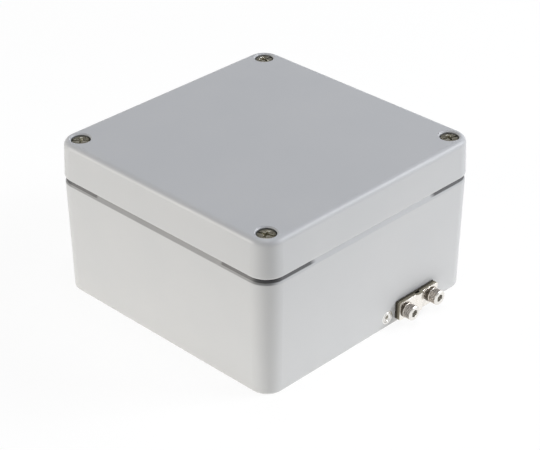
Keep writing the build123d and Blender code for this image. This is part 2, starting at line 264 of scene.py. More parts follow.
soft_lamp("right_lamp", 315, 30, 15.5, "#F8FAFF")
soft_lamp("far_right_lamp", 330, 30, 8.8, "#F8FAFF")
soft_lamp("left_lamp", 146, 10, 18.9, "#FFFBF5")
soft_lamp("top_back_lamp", 45, 75, 5.4, "#F9FAFF")
soft_lamp("top_front_lamp", 225, 82, 11.0, "#F9FAFF")

# %% [markdown]
# ## Painted castings
# Body and lid are die cast aluminium, powder coated outside in a satin light grey. Powder coat
# flows out with a faint orange peel, here 1.2 mm from crest to crest. Inside, the casting is
# masked and stays bare: a dull skin with flow marks, cloudy from the die's release agent, and
# round marks where the ejector pins pushed. The narrow screw recesses get a painted shade below
# their rims, darker with depth, and the bores are tapped after painting, so they show fresh
# metal. The finish is chosen by the place on the casting, so the two nodes keep their exact
# meshes. The first steps are a few helpers and where a casting is bare.


# %% Helpers for finishes
noise_low = 0.3
noise_high = 0.7


def noise(tree, place, patch, detail, distortion=0.0):
    """Soft noise with patches of a given size."""
    return add(tree, "TexNoise", {"Vector": place, "Scale": 1 / patch, "Detail": detail,
                                  "Distortion": distortion})


def follow(tree, patches, first, last):
    """Levels that follow noise, which stays between about 0.3 and 0.7."""
    return ramp(tree, patches, noise_low, noise_high, first, last)


def blend(tree, share, first, second):
    """A mix of two tints, each given as a hex colour or a link."""
    tints = [colour(tint) if isinstance(tint, str) else tint for tint in (first, second)]
    return add(tree, "Mix", {0: share, 6: tints[0], 7: tints[1]}, out=2, data_type="RGBA")


def between(tree, value, low, high):
    """One where a value lies between two limits, else nought."""
    over = calc(tree, "GREATER_THAN", value, low)
    under = calc(tree, "LESS_THAN", value, high)
    return product(tree, over, under)


def join_finish(tree, shader, tone, relief, depth, strength=0.5):
    """Join tint and relief to the shader."""
    tree.links.new(tone, shader.inputs["Base Color"])
    bump = add(tree, "Bump", {"Height": relief, "Strength": strength, "Distance": depth})
    tree.links.new(bump, shader.inputs["Normal"])


# %% Where a casting is bare
core_half = 68 * mm
painted_reach = 8.3 * mm
overspray = 0.5 * mm
spray_speckle = 2.5 * mm
paint_edge = painted_reach + overspray


def bare_inside(tree, place, flat_place, height, bare_from, bare_to):
    """One inside the walls and between two heights, with a ragged edge where the spray drifted."""
    # The reach starts from a smaller square, so that the round corners count as outside
    core_corner = (core_half, core_half, 0)
    past_core = add(tree, "VectorMath", {0: flat_place, 1: core_corner}, operation="SUBTRACT")
    past_core = add(tree, "VectorMath", {0: past_core, 1: (0, 0, 0)}, operation="MAXIMUM")
    reach = add(tree, "VectorMath", {0: past_core}, out="Value", operation="LENGTH")
    ragged = noise(tree, place, spray_speckle, 3.0)
    ragged_reach = calc(tree, "MULTIPLY_ADD", ragged, 2 * overspray, reach)
    inside = ramp(tree, ragged_reach, paint_edge, paint_edge + overspray / 4, 1.0, 0.0)
    return product(tree, inside, between(tree, height, bare_from, bare_to))


print("paint ends", round((core_half + paint_edge) / mm, 1), "mm from the middle")

# %% [markdown]
# ## Painted shade in the seam
# The body slopes inwards under the lid's rim. On the left the slope is out of the light, so an
# even shade is painted on it. At the corners the lid's rim is rounder than the body, so the gap
# is wide there, and its shadow is painted as a dark line close under the lid.

# %% Painted shade in the seam
wide_gap_start = 44 * mm
wide_gap_full = 48 * mm
dark_line_low = parting - 2.3 * mm
dark_line_full = parting - 1.9 * mm
slope_low = parting - 3.2 * mm
slope_full = parting - 2.8 * mm
seam_top = parting + 0.3 * mm
left_corner_start = 5 * mm - body_high.x
left_corner_end = 9 * mm - body_high.x
left_shade_share = 0.6


def seam_shade(tree, place, across, height):
    """How much painted shade lies on a point of the slope under the lid."""
    nearer = calc(tree, "MINIMUM", across["X"], across["Y"])
    wide_gap = ramp(tree, nearer, wide_gap_start, wide_gap_full)
    rising = ramp(tree, height, dark_line_low, dark_line_full)
    # A dark line of painted shadow where the gap is wide, and an even painted shade on the left slope
    dark_line = product(tree, wide_gap, rising)
    sideways = add(tree, "SeparateXYZ", {0: place}, out="X")
    left_side = ramp(tree, sideways, left_corner_start, left_corner_end, left_shade_share, 0.0)
    on_slope = ramp(tree, height, slope_low, slope_full)
    left_shade = product(tree, left_side, on_slope)
    painted_seam_shade = calc(tree, "MAXIMUM", dark_line, left_shade)
    under_lid = calc(tree, "LESS_THAN", height, seam_top)
    return product(tree, painted_seam_shade, under_lid)


print("the dusty slope starts at height", round(slope_low / mm, 1), "mm")

# %% [markdown]
# ## The whole finish
# Masks for bare skin and bores, and for the painted shade in the recesses and the seam, choose
# between the tints of paint, painted shade, skin and metal. The mask of bare skin and bores also
# chooses the roughness and the relief, so that each surface also catches the light in its own way.

# %% Painted casting
orange_peel = 1.2 * mm
paint_cloud = 35 * mm
casting_grain = 0.7 * mm
flow_mark_length = 18 * mm
lid_thread_pitch = 1.0 * mm
recess_reach = 5.7 * mm
recess_light = lid_top - 0.7 * mm
recess_dark = lid_top - 1.6 * mm
tapped_bore = 3.15 * mm
pin_mark_place = (42 * mm, 21 * mm, 0)
pin_mark_radius = 4 * mm
pin_mark_edge = 0.25 * mm
relief_depth = 0.15 * mm
peel_share = 0.012
grain_share = 0.35
bore_thread_share = 1.6
paint_roughness = (0.40, 0.46)
skin_roughness = (0.62, 0.46)
bore_smoothness = 0.22


def casting_finish(name, bare_from, bare_to):
    """Powder coat outside, bare skin inside the walls between two heights, fresh metal in bores."""
    material, tree, shader = new_material(name)
    place = add(tree, "TexCoord", out="Object")
    height = add(tree, "SeparateXYZ", {0: place}, out="Z")
    mirrored = add(tree, "VectorMath", {0: place}, operation="ABSOLUTE")
    across = add(tree, "SeparateXYZ", {0: mirrored}, out=None).outputs
    flat_place = add(tree, "CombineXYZ", {0: across["X"], 1: across["Y"]})
    bare = bare_inside(tree, place, flat_place, height, bare_from, bare_to)
    dust_and_shade = seam_shade(tree, place, across, height)

    # Recess walls and bores round the axis of the nearest lid screw
    nearest_axis = (screw_offset, screw_offset, 0)
    beside_screw = add(tree, "VectorMath", {0: flat_place, 1: nearest_axis}, out="Value",
                       operation="DISTANCE")
    in_recess = calc(tree, "LESS_THAN", beside_screw, recess_reach)
    # Painted shade in the screw recesses, darker with depth below the rim
    deeper_in_recess = ramp(tree, height, recess_dark, recess_light, 1.0, 0.0)
    shaded = product(tree, in_recess, deeper_in_recess)
    in_bore = calc(tree, "LESS_THAN", beside_screw, tapped_bore)
    metal = calc(tree, "MAXIMUM", bare, in_bore)

    # Colours
    cloud = noise(tree, place, paint_cloud, 2.0)
    paint = blend(tree, cloud, "#BDBFC1", "#C3C4C5")
    flow = noise(tree, place, flow_mark_length, 6.0, 1.4)
    flow_tone = ramp(tree, flow, 0.35, 0.65)
    skin = blend(tree, flow_tone, "#8F9294", "#B4B6B7")
    # Painted shade on the slope under the lid, and in the screw recesses
    shadowed = blend(tree, dust_and_shade, paint, "#48484A")
    seam_and_recess_shaded = blend(tree, shaded, shadowed, "#4C4D4C")
    metal_tone = blend(tree, in_bore, skin, "#D2D3D2")
    tone = blend(tree, metal, seam_and_recess_shaded, metal_tone)
    tree.links.new(metal, shader.inputs["Metallic"])

    # Roughness: satin paint, dull skin, smoother cuts
    peel = noise(tree, place, orange_peel, 1.5)
    paint_rough = follow(tree, peel, *paint_roughness)
    skin_rough = follow(tree, flow, *skin_roughness)
    metal_rough = calc(tree, "MULTIPLY_ADD", in_bore, -bore_smoothness, skin_rough)
    rough = add(tree, "Mix", {0: metal, 2: paint_rough, 3: metal_rough})
    tree.links.new(rough, shader.inputs["Roughness"])

    # Relief: orange peel, grain and pin marks of the skin, thread in the bores
    grain = noise(tree, place, casting_grain, 3.0)
    from_pin = add(tree, "VectorMath", {0: flat_place, 1: pin_mark_place}, out="Value",
                   operation="DISTANCE")
    pin_mark = ramp(tree, from_pin, pin_mark_radius, pin_mark_radius + pin_mark_edge)
    phase = product(tree, height, math.tau / lid_thread_pitch)
    crest = calc(tree, "SINE", phase)
    bore_thread = product(tree, crest, in_bore)
    peel_height = product(tree, peel, peel_share)
    skin_height = calc(tree, "MULTIPLY_ADD", grain, grain_share, pin_mark)
    metal_height = calc(tree, "MULTIPLY_ADD", bore_thread, bore_thread_share, skin_height)
    relief = add(tree, "Mix", {0: metal, 2: peel_height, 3: metal_height})
    join_finish(tree, shader, tone, relief, relief_depth, strength=0.6)
    return material


def dress_node(node, material):
    """Give a node of the frame its finish."""
    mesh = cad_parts[node].data
    mesh.materials.clear()
    mesh.materials.append(material)


floor_middle = 2.25 * mm
plate_middle = lid_top - 2.0 * mm
dress_node("box_body", casting_finish("powder_coated_body_casting", floor_middle, lid_top))
dress_node("lid", casting_finish("powder_coated_lid_casting", 0.0, plate_middle))

# %% [markdown]
# ## How the small pieces are modelled
# Every screw, plate and washer starts as a primitive at its real size, standing on the z axis
# or lying on the ground at the origin. It is shaped there in edit mode, where its measures are
# easy to read, and only then carried to its place on the box. A few short helpers do what the
# hand does with the mouse: deselect, settle a primitive, pick faces by where they are, join or
# cut, and break the sharp edges, because a broken edge is what catches the light.


# %% Modelling helpers
def fresh():
    if bpy.context.object is not None and bpy.context.object.mode != "OBJECT":
        bpy.ops.object.mode_set(mode="OBJECT")
    bpy.ops.object.select_all(action="DESELECT")


def choose(piece):
    """Make one piece the active and only selected one."""
    fresh()
    bpy.context.view_layer.objects.active = piece
    piece.select_set(True)


def settle(name):
    """Name a new primitive and put its place, turn and size into its mesh."""
    piece = bpy.context.active_object
    piece.name = name
    bpy.ops.object.transform_apply(location=True, rotation=True, scale=True)
    return piece


def round_bar(name, radius, low, high, corners=64):
    """A closed bar on the z axis between two heights."""
    fresh()
    middle = (0, 0, (low + high) / 2)
    bpy.ops.mesh.primitive_cylinder_add(vertices=corners, radius=radius, depth=high - low,
                                        location=middle)
    return settle(name)


def block(name, size, middle, turn=0.0):
    """A closed block with its size, its middle and a turn about z in degrees."""
    fresh()
    turned = (0, 0, math.radians(turn))
    bpy.ops.mesh.primitive_cube_add(size=1, location=middle, rotation=turned, scale=size)
    return settle(name)


def pick(piece, kind, test):
    """Open a piece in edit mode with the vertices, edges or faces selected that pass a test."""
    choose(piece)
    mesh = piece.data
    for element in (*mesh.vertices, *mesh.edges, *mesh.polygons):
        element.select = False
    if kind == "FACE":
        for face in mesh.polygons:
            face.select = test(face.center, face.normal)
    elif kind == "EDGE":
        for edge in mesh.edges:
            first, second = (mesh.vertices[index].co for index in edge.vertices)
            edge.select = test((first + second) / 2, (second - first).normalized())
    else:
        for vertex in mesh.vertices:
            vertex.select = test(vertex.co)
    scene.tool_settings.mesh_select_mode = (kind == "VERT", kind == "EDGE", kind == "FACE")
    bpy.ops.object.mode_set(mode="EDIT")


def join(piece, other, operation="UNION"):
    """Join another piece to this one, or cut it out, and delete it."""
    choose(piece)
    step = piece.modifiers.new("join", "BOOLEAN")
    step.operation = operation
    step.solver = "EXACT"
    step.object = other
    bpy.ops.object.modifier_apply(modifier=step.name)
    bpy.data.objects.remove(other, do_unlink=True)
    return piece


def cut(piece, tool):
    """Cut a tool out of a piece."""
    return join(piece, tool, "DIFFERENCE")


def break_edges(piece, width, angle=35, segments=2):
    """Round all edges that are sharper than an angle."""
    choose(piece)
    step = piece.modifiers.new("broken_edges", "BEVEL")
    step.width = width
    step.segments = segments
    step.limit_method = "ANGLE"
    step.angle_limit = math.radians(angle)
    bpy.ops.object.modifier_apply(modifier=step.name)


def shade(piece, angle=32):
    """Shade smoothly over blunt edges and leave the sharp ones."""
    choose(piece)
    bpy.ops.object.shade_smooth_by_angle(angle=math.radians(angle))


def describe(piece):
    """Print the size of a piece in mm, its triangles and its open edges."""
    mesh = piece.data
    sides = {}
    for face in mesh.polygons:
        for key in face.edge_keys:
            sides[key] = sides.get(key, 0) + 1
    loose = sum(1 for count in sides.values() if count != 2)
    triangles = sum(len(face.vertices) - 2 for face in mesh.polygons)
    size = [round(value / mm, 2) for value in piece.dimensions]
    print(piece.name, "size", size, "triangles", triangles, "open edges", loose)


def copy_to(piece, name, matrix):
    """A copy with its own mesh that remembers each point's own place and is carried to the box."""
    mesh = piece.data.copy()
    mesh.name = name
    own_place = mesh.attributes.new("own_place", "FLOAT_VECTOR", "POINT")
    for point, vertex in zip(own_place.data, mesh.vertices):
        point.vector = vertex.co
    mesh.transform(matrix)
    twin = bpy.data.objects.new(name, mesh)
    scene.collection.objects.link(twin)
    return twin


# %% [markdown]
# ## Screw threads
# A metric thread is a V that climbs one pitch in each turn. Two sides of a small triangle are
# wound up by the screw modifier, the turns are merged, and both ends are cut flat. The winding
# starts a turn and a half too low, so that there is enough to cut, and the tip is drawn in a
# little, as on a real screw. A plain rod
# would be quicker, but a thread is the first thing that is seen once the lid is off.

# %% Thread
thread_steps = 32
thread_depth_share = 0.61
thread_lead_in = 1.52
tip_length_share = 0.45
tip_width_share = 0.84
print("a thread is wound in", thread_steps, "steps for each turn")


def threaded_rod(name, radius, pitch, low, high):
    """A closed threaded rod on the z axis, with a pointed tip at its low end."""
    depth = thread_depth_share * pitch
    fresh()
    bpy.ops.mesh.primitive_circle_add(vertices=3, radius=1, rotation=(math.pi / 2, math.pi / 2, 0))
    rod = settle(name)
    pick(rod, "EDGE", lambda middle, along: abs(along.z) > 0.99)
    bpy.ops.mesh.delete(type="EDGE")
    bpy.ops.mesh.select_all(action="SELECT")
    bpy.ops.transform.resize(value=(depth / 1.5, 1, pitch / math.sqrt(3)), center_override=(0, 0, 0))
    start_height = low - thread_lead_in * pitch
    bpy.ops.transform.translate(value=(radius - depth / 1.5, 0, start_height))
    choose(rod)
    winding = rod.modifiers.new("winding", "SCREW")
    winding.axis = "Z"
    winding.screw_offset = pitch
    winding.iterations = math.ceil((high - low) / pitch) + 4
    winding.steps = thread_steps
    winding.render_steps = thread_steps
    bpy.ops.object.modifier_apply(modifier=winding.name)
    pick(rod, "VERT", lambda place: True)
    bpy.ops.mesh.remove_doubles(threshold=1e-6)
    bpy.ops.mesh.normals_make_consistent(inside=False)
    for end, outwards in ((high, 1), (low, -1)):
        bpy.ops.mesh.select_all(action="SELECT")
        bpy.ops.mesh.bisect(plane_co=(0, 0, end), plane_no=(0, 0, outwards), use_fill=True,
                            clear_outer=True, threshold=1e-7)
    bpy.ops.mesh.select_all(action="SELECT")
    bpy.ops.mesh.normals_make_consistent(inside=False)
    pick(rod, "VERT", lambda place: place.z < low + tip_length_share * pitch)
    tip_size = (tip_width_share, tip_width_share, 1)
    bpy.ops.transform.resize(value=tip_size, center_override=(0, 0, low))
    fresh()
    return rod


# %% [markdown]
# ## Lid screws
# The lid is held by four M6 screws of stainless steel with a cylinder head, which takes a flat
# or a cross driver. They are captive: behind the head the shank is turned down to a plain neck.
# The head is a bar with a rounded upper edge. One long cutter makes the slot, and two crossed
# tapered cutters and a point make the cross, which is deeper.

# %% Lid screw
lid_head_radius = 5.0 * mm
lid_head_height = 5.0 * mm
lid_head_round = 0.8 * mm
lid_slot_width = 1.5 * mm
lid_slot_depth = 1.3 * mm
lid_slot_cutter = 14.0 * mm
lid_cross_width = 1.6 * mm
lid_cross_span = 6.4 * mm
lid_cross_depth = 3.0 * mm
lid_cross_taper = 12
lid_point_radius = 1.5 * mm
lid_point_height = 3.8 * mm
lid_point_middle = -2.0 * mm
lid_edge_break = 0.3 * mm
lid_neck_radius = 2.6 * mm
lid_neck_length = 6.0 * mm
lid_shank_length = 25.0 * mm
lid_shank_radius = 2.95 * mm
proud = 0.5 * mm


def tapered_arm(turn):
    """One arm of the cross, narrower at its foot."""
    height = lid_cross_depth + proud
    arm = block("arm", (lid_cross_span, lid_cross_width, height), (0, 0, (proud - lid_cross_depth) / 2))
    pick(arm, "FACE", lambda middle, normal: normal.z < -0.9)
    inward = 2 * lid_cross_depth * math.tan(math.radians(lid_cross_taper))
    shorter = (lid_cross_span - inward) / lid_cross_span
    thinner = (lid_cross_width - inward / 3) / lid_cross_width
    bpy.ops.transform.resize(value=(shorter, thinner, 1), center_override=(0, 0, 0))
    fresh()
    arm.data.transform(Matrix.Rotation(math.radians(turn), 4, "Z"))
    return arm


lid_screw = round_bar("lid_screw", lid_head_radius, -lid_head_height, 0, corners=72)
pick(lid_screw, "EDGE", lambda middle, along: middle.z > -1e-6 and abs(along.z) < 0.1)
bpy.ops.mesh.bevel(offset=lid_head_round, segments=5, affect="EDGES")
cut(lid_screw, block("slot", (lid_slot_cutter, lid_slot_width, 2 * lid_slot_depth), (0, 0, 0)))
cut(lid_screw, tapered_arm(0))
cut(lid_screw, tapered_arm(90))
fresh()
bpy.ops.mesh.primitive_cone_add(vertices=24, radius1=0, radius2=lid_point_radius,
                                depth=lid_point_height, location=(0, 0, lid_point_middle))
cut(lid_screw, settle("point"))
break_edges(lid_screw, lid_edge_break, angle=40)
neck_end = -lid_head_height - lid_neck_length
neck = round_bar("neck", lid_neck_radius, neck_end - proud, proud - lid_head_height, corners=32)
join(lid_screw, neck)
join(lid_screw, threaded_rod("thread", lid_shank_radius, lid_thread_pitch,
                             -lid_head_height - lid_shank_length, neck_end))
shade(lid_screw)
describe(lid_screw)

# %% [markdown]
# ## Earth terminal plates
# The earth terminal clamps an external earth wire to the wall. It has two strips of nickel
# plated brass: a flat one on the paint, and over it one that is pressed to a ridge in its
# middle, so that the wire passes underneath. The strips are cut from sheet, so their edges are
# sharp, and the edges are painted in shade, darker than the faces. The ridge is made as in the
# press: the blank is cut along four slanting lines, and the strip between them is lifted.

# %% Plates
strip_length = 31.0 * mm
strip_width = 11.0 * mm
strip_corner = 1.0 * mm
strip_hole = 2.7 * mm
base_strip_thickness = 1.5 * mm
clamp_strip_thickness = 2.0 * mm
ridge_rise = 1.2 * mm
ridge_half = 1.85 * mm
earth_pitch = 21.0 * mm


def strip_blank(name, thickness):
    """A flat strip with rounded corners, lying on the ground."""
    strip = block(name, (strip_length, strip_width, thickness), (0, 0, thickness / 2))
    pick(strip, "EDGE", lambda middle, along: abs(along.z) > 0.9)
    bpy.ops.mesh.bevel(offset=strip_corner, segments=5, affect="EDGES")
    fresh()
    return strip


def punch_holes(strip, thickness):
    """Two round holes for the earth screws."""
    for side in (-1, 1):
        punch = round_bar("punch", strip_hole, -proud, thickness + proud, corners=40)
        punch.data.transform(Matrix.Translation((side * earth_pitch / 2, 0, 0)))
        cut(strip, punch)


base_strip = strip_blank("base_strip", base_strip_thickness)
punch_holes(base_strip, base_strip_thickness)
break_edges(base_strip, 0.15 * mm)
shade(base_strip)
describe(base_strip)

clamp_strip = strip_blank("clamp_strip", clamp_strip_thickness)
ramp_shift = clamp_strip_thickness * math.tan(math.radians(22.5))
slant = Vector((clamp_strip_thickness, 0, -ramp_shift)).normalized()
for side in (-1, 1):
    for top_point in (ridge_half, ridge_half + ridge_rise):
        pick(clamp_strip, "VERT", lambda place: True)
        bpy.ops.mesh.bisect(plane_co=(side * top_point, 0, clamp_strip_thickness),
                            plane_no=(side * slant.x, 0, slant.z), threshold=1e-7)
pick(clamp_strip, "VERT", lambda place: abs(place.x) < ridge_half + 1e-6
     and abs(place.x) < ridge_half - ramp_shift + 1e-6 + place.z * ramp_shift / clamp_strip_thickness)
bpy.ops.transform.translate(value=(0, 0, ridge_rise))
fresh()
punch_holes(clamp_strip, clamp_strip_thickness)
break_edges(clamp_strip, 0.15 * mm, angle=30)
shade(clamp_strip, angle=40)
describe(clamp_strip)

# %% [markdown]
# ## Spring washers
# A spring washer is a coil of square wire that is cut once at a slant. A ring is bored, split
# by a thin turned block and its edges are broken.

# %% Spring washer
washer_radius = 4.35 * mm
washer_bore = 2.6 * mm
washer_thickness = 1.2 * mm
washer_split = 0.8 * mm
washer_skew = 20

spring_washer = round_bar("spring_washer", washer_radius, 0, washer_thickness, corners=72)
cut(spring_washer, round_bar("bore", washer_bore, -proud, washer_thickness + proud, corners=72))
split_middle = (0, (washer_radius + washer_bore) / 2, washer_thickness / 2)
split_size = (washer_split, washer_radius, 3 * washer_thickness)
cut(spring_washer, block("split", split_size, split_middle, washer_skew))
break_edges(spring_washer, 0.12 * mm, angle=40)
shade(spring_washer)
describe(spring_washer)

# %% [markdown]
# ## Earth screws
# Two M5 socket cap screws press the clamp. Their heads are knurled: sharp ribs run along the
# side, which show as light and dark stripes. The head is extruded in rings, and every second
# point of the two middle rings is drawn inwards, so that valleys form between the ribs. A
# hexagon bar with a point below it cuts the socket.

# %% Earth screw
earth_head_radius = 4.25 * mm
earth_head_height = 5.0 * mm
earth_head_chamfer = 0.5 * mm
knurl_count = 36
knurl_depth = 0.22 * mm
knurl_low = 0.35 * mm
knurl_run_out = 0.15 * mm
earth_socket_width = 4.0 * mm
earth_socket_depth = 2.5 * mm
earth_shank_radius = 2.45 * mm
earth_shank_length = 16.0 * mm
earth_thread_pitch = 0.8 * mm


def hexagon_socket(width, depth, top):
    """A hexagon bar with a drilled point below it, to be cut out of a head."""
    corner_radius = width / 2 / math.cos(math.radians(30))
    bar = round_bar("hexagon", corner_radius, top - depth, top + proud, corners=6)
    fresh()
    drill_point = width / 4
    bpy.ops.mesh.primitive_cone_add(vertices=36, radius1=0, radius2=width / 2, depth=drill_point,
                                    location=(0, 0, top - depth - drill_point / 2 + 1e-6))
    return join(bar, settle("drill_point"))


def raise_top(piece, amount, factor=1.0):
    """Extrude the top face upwards and size it."""
    top = max(vertex.co.z for vertex in piece.data.vertices)
    pick(piece, "FACE", lambda middle, normal: normal.z > 0.9 and middle.z > top - 1e-6)
    bpy.ops.mesh.extrude_region_move(TRANSFORM_OT_translate={"value": (0, 0, amount)})
    bpy.ops.transform.resize(value=(factor, factor, 1), center_override=(0, 0, top + amount))
    fresh()


knurl_high = earth_head_height - earth_head_chamfer - 0.1 * mm
earth_screw = round_bar("earth_screw", earth_head_radius, 0, knurl_low, corners=2 * knurl_count)
raise_top(earth_screw, knurl_run_out)
raise_top(earth_screw, knurl_high - knurl_low - 2 * knurl_run_out)
raise_top(earth_screw, knurl_run_out)
raise_top(earth_screw, earth_head_height - earth_head_chamfer - knurl_high)
raise_top(earth_screw, earth_head_chamfer, 1 - earth_head_chamfer / earth_head_radius)


def is_valley(place):
    """Every second point of the two middle rings of the knurl."""
    step = round(math.atan2(place.y, place.x) / (math.pi / knurl_count))
    return step % 2 == 0 and knurl_low + 1e-6 < place.z < knurl_high - 1e-6


pick(earth_screw, "VERT", is_valley)
valley_share = 1 - knurl_depth / earth_head_radius
bpy.ops.transform.resize(value=(valley_share, valley_share, 1), center_override=(0, 0, 0))
fresh()
cut(earth_screw, hexagon_socket(earth_socket_width, earth_socket_depth, earth_head_height))
pick(earth_screw, "EDGE", lambda middle, along: middle.z > earth_head_height - 1e-6)
bpy.ops.mesh.bevel(offset=0.08 * mm, segments=2, affect="EDGES")
fresh()
earth_thread = threaded_rod("thread", earth_shank_radius, earth_thread_pitch,
                            -earth_shank_length, proud)
join(earth_screw, earth_thread)
shade(earth_screw, angle=30)
describe(earth_screw)

# %% [markdown]
# ## Countersunk screw beside the terminal
# A small M4 screw sits flush in the wall beside the clamp. Its face shows a bright rim, a fine
# turned groove, and a dished middle with a small hexagon socket. The rings are inset one after
# the other into the flat end of a cone.

# %% Countersunk screw
flush_face_radius = 3.95 * mm
flush_cone_height = 2.0 * mm
flush_groove_radius = 2.9 * mm
flush_groove_half = 0.15 * mm
flush_groove_depth = 0.18 * mm
flush_dish_radius = 2.2 * mm
flush_dish_depth = 0.4 * mm
flush_socket_width = 2.5 * mm
flush_socket_depth = 1.6 * mm
flush_shank_radius = 1.95 * mm
flush_shank_length = 10.0 * mm
flush_thread_pitch = 0.7 * mm

fresh()
bpy.ops.mesh.primitive_cone_add(vertices=64, radius1=flush_shank_radius, radius2=flush_face_radius,
                                depth=flush_cone_height, location=(0, 0, -flush_cone_height / 2))
flush_screw = settle("flush_screw")
rings = [
    (flush_face_radius - flush_groove_radius - flush_groove_half, 0),
    (flush_groove_half, -flush_groove_depth),
    (flush_groove_half, flush_groove_depth),
    (flush_groove_radius - flush_groove_half - flush_dish_radius, 0),
    (flush_dish_depth, -flush_dish_depth),
]
pick(flush_screw, "FACE", lambda middle, normal: normal.z > 0.9)
for width, lift in rings:
    bpy.ops.mesh.inset(thickness=width, depth=lift)
fresh()
cut(flush_screw, hexagon_socket(flush_socket_width, flush_socket_depth, 0))
break_edges(flush_screw, 0.05 * mm, angle=30)
join(flush_screw, threaded_rod("thread", flush_shank_radius - 0.01 * mm, flush_thread_pitch,
                               -flush_shank_length, proud - flush_cone_height))
shade(flush_screw)
describe(flush_screw)

# %% [markdown]
# ## Inner earth terminal
# Inside the front wall a cast block carries a second terminal for the wire of the device: a
# saddle with two lips turned down, a spring washer and a slotted M5 screw. The saddle starts
# as a block. Its ends are marked off by two cuts and drawn down to lips.

# %% Saddle and slotted screw
saddle_length = 10.0 * mm
saddle_width = 9.0 * mm
saddle_thickness = 1.2 * mm
saddle_lip = 1.5 * mm
saddle_bend = 0.8 * mm
inner_head_height = 3.3 * mm
inner_shank_length = 11.0 * mm
inner_slot_width = 1.2 * mm
inner_slot_depth = 1.5 * mm

saddle = block("saddle", (saddle_length, saddle_width, saddle_thickness),
               (0, 0, saddle_lip + saddle_thickness / 2))
for side in (-1, 1):
    pick(saddle, "VERT", lambda place: True)
    bpy.ops.mesh.bisect(plane_co=(side * (saddle_length / 2 - saddle_thickness), 0, 0),
                        plane_no=(1, 0, 0), threshold=1e-7)
pick(saddle, "FACE", lambda middle, normal: normal.z < -0.9
     and abs(middle.x) > saddle_length / 2 - saddle_thickness)
bpy.ops.mesh.extrude_region_move(TRANSFORM_OT_translate={"value": (0, 0, -saddle_lip)})
saddle_top = saddle_lip + saddle_thickness
pick(saddle, "EDGE", lambda middle, along: abs(along.y) > 0.9 and middle.z > saddle_top - 1e-6
     and abs(middle.x) > saddle_length / 2 - 1e-6)
bpy.ops.mesh.bevel(offset=saddle_bend, segments=5, affect="EDGES")
fresh()
cut(saddle, round_bar("saddle_hole", strip_hole, saddle_lip - proud, saddle_top + proud, corners=40))
break_edges(saddle, 0.12 * mm, angle=40)
shade(saddle)
describe(saddle)

slotted_screw = round_bar("slotted_screw", earth_head_radius, 0, inner_head_height, corners=72)
pick(slotted_screw, "EDGE", lambda middle, along: middle.z > inner_head_height - 1e-6)
bpy.ops.mesh.bevel(offset=earth_head_chamfer, segments=4, affect="EDGES")
slot_size = (3 * earth_head_radius, inner_slot_width, 2 * inner_slot_depth)
cut(slotted_screw, block("slot", slot_size, (0, 0, inner_head_height)))
break_edges(slotted_screw, 0.08 * mm, angle=40)
inner_thread = threaded_rod("thread", earth_shank_radius, earth_thread_pitch,
                            -inner_shank_length, proud)
join(slotted_screw, inner_thread)
shade(slotted_screw)
describe(slotted_screw)

# %% [markdown]
# ## Metals of the small pieces
# All small pieces are metal, and metal is told apart by the tint, the sharpness and the marks
# of its reflections. Stainless steel screws are cold headed and then tumbled, so they are a
# little warm and even. Their recesses and knurls get painted light and shade, and their thread
# valleys are darker. The strips are brass with a thin coat of nickel, pale and warm on the faces,
# dull and painted in shade on the sheared edges. Marks that follow a piece, such as turned rings,
# are drawn with the place that each point had before the piece was carried to the box. It is kept
# as an attribute. A mask that has no limit on one side gets one metre there, which is far past
# every piece.

# %% Marks that follow a piece
steel_grain = 0.9 * mm
fine_scratch = 0.35 * mm
turned_ring = 0.5 * mm
unlimited = 1.0


def own_place(tree):
    """The place that a point had while its piece stood at the origin."""
    return add(tree, "Attribute", out="Vector", attribute_name="own_place")


def own_radius(tree):
    """The distance of a point from its piece's own axis."""
    flat = add(tree, "VectorMath", {0: own_place(tree), 1: (1, 1, 0)}, operation="MULTIPLY")
    return add(tree, "VectorMath", {0: flat}, out="Value", operation="LENGTH")


def own_height(tree):
    """The height of a point on its piece's own axis."""
    return add(tree, "SeparateXYZ", {0: own_place(tree)}, out="Z")


def worn_metal(name, light, dark, smooth, rough):
    """Metal with a soft mottle in its tint and its gloss, and fine scratches."""
    material, tree, shader = new_material(name, metallic=1.0)
    place = own_place(tree)
    mottle = noise(tree, place, steel_grain, 3.0)
    tone = blend(tree, mottle, dark, light)
    gloss = follow(tree, mottle, smooth, rough)
    tree.links.new(gloss, shader.inputs["Roughness"])
    scratches = noise(tree, place, fine_scratch, 2.0, 2.0)
    return material, tree, shader, tone, scratches


def turned_relief(tree, scratches, strength):
    """Fine rings from turning or coiling, over the scratches."""
    phase = product(tree, own_radius(tree), math.tau / turned_ring)
    rings = calc(tree, "SINE", phase)
    return calc(tree, "MULTIPLY_ADD", rings, strength, scratches)


def thread_valley(tree):
    """One in the valleys of an M5 thread below the screw's head."""
    under_head = between(tree, own_height(tree), -unlimited, -0.1 * mm)
    thread_bottom = between(tree, own_radius(tree), -unlimited, earth_shank_radius - 0.25 * mm)
    return product(tree, under_head, thread_bottom)


